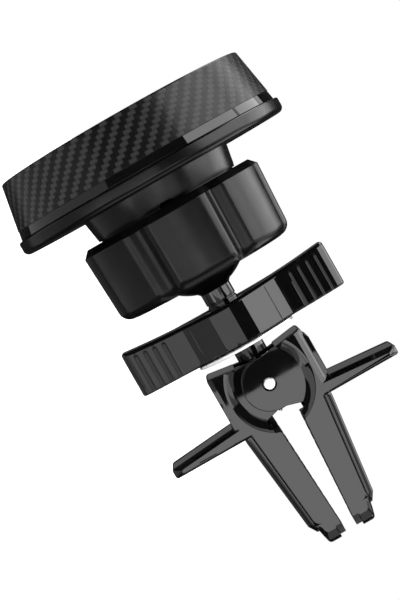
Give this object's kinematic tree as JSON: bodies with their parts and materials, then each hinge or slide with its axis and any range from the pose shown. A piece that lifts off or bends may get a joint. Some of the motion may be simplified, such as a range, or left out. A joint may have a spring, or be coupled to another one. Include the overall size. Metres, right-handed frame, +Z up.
{
  "type": "car phone mount",
  "caption": "Magnetic phone holder head on a lockable ball joint, carried by a spring-closed louver clip with a clamp wheel.",
  "frame": {"origin": "midway between the two grip pads, where the vent louver is held", "axes": "+Y along the mount's axis from the phone face to the tips of the clip's legs, +X along the clip's pivot pin, +Z up across the louver"},
  "size_m": [0.0434, 0.069, 0.0434],
  "materials": {
    "soft_rubber": "matte soft rubber",
    "carbon_weave": "black twill carbon weave under clear gloss, smooth gloss band at the rim",
    "inner_plastic": "matte",
    "magnet_nickel": "nickel plated",
    "plated_steel": "zinc plated sheet",
    "gloss_black": "high gloss black",
    "satin_black": "semi-gloss black moulding",
    "nylon": "natural nylon",
    "black_screw": "blackened steel",
    "polished_steel": "polished stainless steel",
    "spring_steel": "drawn spring wire",
    "grip_rubber": "matte ribbed rubber"
  },
  "bodies": {
    "root": {"ball_stud": "gloss_black", "pivot_pin": "polished_steel", "torsion_spring": "spring_steel"},
    "seat": {"seat_pad": "nylon"},
    "liner": {"ball_liner": "nylon"},
    "head": {"face_pad": "soft_rubber", "head_shell": "carbon_weave", "magnet_1": "magnet_nickel", "magnet_2": "magnet_nickel", "magnet_3": "magnet_nickel", "magnet_4": "magnet_nickel", "magnet_5": "magnet_nickel", "magnet_6": "magnet_nickel", "magnet_tray": "inner_plastic", "yoke_plate": "plated_steel", "rear_cover": "gloss_black", "cover_screw_1": "black_screw", "cover_screw_2": "black_screw", "cover_screw_3": "black_screw", "ball_socket": "gloss_black"},
    "squeeze": {"compression_ring": "nylon"},
    "nut": {"lock_nut": "satin_black"},
    "washer": {"thrust_washer": "polished_steel"},
    "wheel": {"clamp_wheel": "satin_black"},
    "upper_clip": {"upper_jaw": "satin_black", "upper_grip_pad": "grip_rubber"},
    "lower_clip": {"lower_jaw": "satin_black", "lower_grip_pad": "grip_rubber"}
  },
  "joints": [
    {"name": "swivel_pitch", "type": "hinge", "parent": "root", "child": "seat", "pos_m": [0, -0.03913, 0], "axis": [1, 0, 0], "range_deg": [-14, 14]},
    {"name": "swivel_yaw", "type": "hinge", "parent": "seat", "child": "liner", "pos_m": [0, -0.03913, 0], "axis": [0, 0, 1], "range_deg": [-14, 14]},
    {"name": "swivel_spin", "type": "hinge", "parent": "liner", "child": "head", "pos_m": [0, -0.03913, 0], "axis": [0, 1, 0], "continuous": true},
    {"name": "nut_travel", "type": "slide", "parent": "head", "child": "squeeze", "axis": [0, 1, 0], "range_m": [-0.00006, 0.0002]},
    {"name": "nut_spin", "type": "hinge", "parent": "squeeze", "child": "nut", "pos_m": [0, -0.03913, 0], "axis": [0, 1, 0], "range_deg": [-15, 60]},
    {"name": "wheel_travel", "type": "slide", "parent": "root", "child": "washer", "axis": [0, -1, 0], "range_m": [-0.00105, 0.00025]},
    {"name": "wheel_spin", "type": "hinge", "parent": "washer", "child": "wheel", "pos_m": [0, -0.0257, 0], "axis": [0, -1, 0], "range_deg": [-450, 90]},
    {"name": "upper_jaw_hinge", "type": "hinge", "parent": "root", "child": "upper_clip", "pos_m": [0, -0.015, 0], "axis": [1, 0, 0], "range_deg": [0, 8], "stiffness_Nm_per_rad": 0.025, "springref_deg": -68.75},
    {"name": "lower_jaw_hinge", "type": "hinge", "parent": "root", "child": "lower_clip", "pos_m": [0, -0.015, 0], "axis": [1, 0, 0], "range_deg": [-8.4, 0.4]}
  ],
  "couplings": [
    {"joint": "nut_travel", "follows": "nut_spin", "m_per_rad": 0.00015915},
    {"joint": "wheel_travel", "follows": "wheel_spin", "m_per_rad": 0.00012732},
    {"joint": "lower_jaw_hinge", "follows": "upper_jaw_hinge", "ratio": -1}
  ]
}
